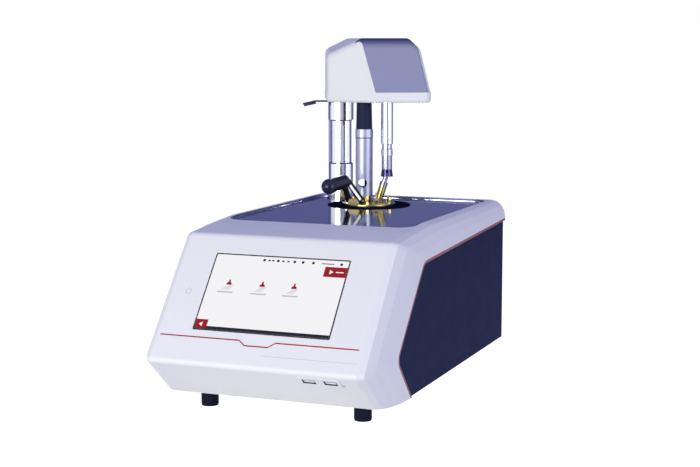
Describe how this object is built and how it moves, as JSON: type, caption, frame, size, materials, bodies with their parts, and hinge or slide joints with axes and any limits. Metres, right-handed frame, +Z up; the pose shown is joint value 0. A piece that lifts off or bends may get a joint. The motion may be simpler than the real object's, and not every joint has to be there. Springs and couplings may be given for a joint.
{
  "type": "flash point tester",
  "caption": "Closed-cup bench flash point tester: wedge housing with sloping display, cooled cup well with lid and stirrer, and a column that lifts the instrument head.",
  "frame": {"origin": "middle of the footprint on the bench, at the bottom of the feet", "axes": "+X to the user's right, +Y from the display towards the back, +Z up"},
  "size_m": [0.266, 0.4639, 0.396],
  "materials": {
    "cover_white": "satin powder coat, off-white with a cool cast",
    "panel_navy": "fine-textured dark navy",
    "trim_orange": "glossy red-orange line",
    "deck_steel": "polished steel with a dark, cool reflection",
    "glass_screen": "clear cover glass over a lit display",
    "board_green": "circuit board",
    "polished_chrome": "polished, hard chrome",
    "satin_steel": "fine turned steel",
    "machined_aluminium": "machined aluminium",
    "lid_brass": "turned brass, lightly polished",
    "igniter_copper": "warm copper alloy",
    "foot_rubber": "dark rubber",
    "black_plastic": "black moulded plastic",
    "grip_black": "glossy black handle",
    "head_panel": "smooth grey-lavender panel",
    "foam_black": "closed-cell foam",
    "ceramic_white": "thermoelectric element",
    "sheet_zinc": "plain sheet steel"
  },
  "bodies": {
    "root": {"housing_shell": "cover_white", "side_panel_right": "panel_navy", "side_panel_left": "panel_navy", "side_trims": "trim_orange", "base_plate": "sheet_zinc", "rear_panel": "sheet_zinc", "feet": "foot_rubber", "foot_screws": "satin_steel", "display_glass": "glass_screen", "display_panel": "black_plastic", "display_board": "board_green", "front_stripe": "trim_orange", "usb_sockets": "satin_steel", "socket_surround": "cover_white", "deck_plate": "deck_steel", "well_ring": "black_plastic", "test_cup": "lid_brass", "cooling_block": "machined_aluminium", "insulation": "foam_black", "peltier_element": "ceramic_white", "heat_sink": "machined_aluminium", "fan_frame": "black_plastic", "column_sleeve": "polished_chrome", "guide_bush": "black_plastic", "lift_frame": "machined_aluminium", "lift_motor": "black_plastic", "stirrer_bush": "lid_brass", "cup_lid": "lid_brass", "lid_fittings": "lid_brass", "handle_bracket": "lid_brass", "main_board": "board_green", "power_supply": "sheet_zinc", "power_inlet": "black_plastic", "switch_frame": "black_plastic"},
    "head": {"lift_column": "polished_chrome", "upper_collar": "polished_chrome", "guide_rod": "polished_chrome", "lift_carriage": "machined_aluminium", "head_shell": "cover_white", "head_front_panel": "head_panel", "head_base": "sheet_zinc", "head_screws": "satin_steel", "column_clamp": "machined_aluminium", "head_board": "board_green", "drive_bearing": "satin_steel", "motor_mount": "machined_aluminium", "stirrer_motor": "satin_steel", "detector_tube": "satin_steel", "detector_plug": "black_plastic", "temperature_probe": "satin_steel"},
    "stirrer_drive": {"stirrer_drive": "polished_chrome"},
    "stirrer": {"stirrer": "polished_chrome"},
    "lift_screw": {"lift_screw": "satin_steel"},
    "clamp_lever": {"clamp_lever": "satin_steel"},
    "lid_shutter": {"lid_shutter": "lid_brass"},
    "igniter": {"igniter": "igniter_copper"},
    "handle": {"handle_fork": "black_plastic", "handle_grip": "grip_black"},
    "power_rocker": {"power_rocker": "grip_black"},
    "fan_rotor": {"fan_rotor": "black_plastic"}
  },
  "joints": [
    {"name": "head_lift", "type": "slide", "parent": "root", "child": "head", "axis": [0, 0, 1], "range_m": [0, 0.07]},
    {"name": "stirrer_drive_spin", "type": "hinge", "parent": "head", "child": "stirrer_drive", "pos_m": [0.00323, 0.15447, 0.2518], "axis": [0, 0, 1], "continuous": true},
    {"name": "stirrer_spin", "type": "hinge", "parent": "root", "child": "stirrer", "pos_m": [0.00323, 0.15447, 0.231], "axis": [0.2637, 0.1055, 0.9588], "continuous": true},
    {"name": "lift_screw_spin", "type": "hinge", "parent": "root", "child": "lift_screw", "pos_m": [-0.10898, 0.18901, 0.06], "axis": [0, 0, 1], "continuous": true},
    {"name": "clamp_lever_turn", "type": "hinge", "parent": "head", "child": "clamp_lever", "pos_m": [-0.07198, 0.18901, 0.3173], "axis": [0, 0, 1], "range_deg": [0, 35]},
    {"name": "igniter_dip", "type": "hinge", "parent": "root", "child": "igniter", "pos_m": [0.0009, 0.12392, 0.2003], "axis": [-0.9285, -0.3714, 0], "range_deg": [0, 50]},
    {"name": "shutter_slide", "type": "slide", "parent": "root", "child": "lid_shutter", "axis": [0.9285, 0.3714, 0], "range_m": [0, 0.008]},
    {"name": "handle_tilt", "type": "hinge", "parent": "root", "child": "handle", "pos_m": [-0.02481, 0.11956, 0.1998], "axis": [0.9191, -0.3939, 0], "range_deg": [-20, 15]},
    {"name": "rocker_tilt", "type": "hinge", "parent": "root", "child": "power_rocker", "pos_m": [0.096, 0.2252, 0.0636], "axis": [1, 0, 0], "range_deg": [0, 14]},
    {"name": "fan_spin", "type": "hinge", "parent": "root", "child": "fan_rotor", "pos_m": [-0.0172, 0.1463, 0.085], "axis": [0, 0, 1], "continuous": true}
  ],
  "couplings": [
    {"joint": "stirrer_spin", "follows": "stirrer_drive_spin", "ratio": 1},
    {"joint": "lift_screw_spin", "follows": "head_lift", "rad_per_m": 785.4},
    {"joint": "igniter_dip", "follows": "shutter_slide", "rad_per_m": 98.17}
  ]
}
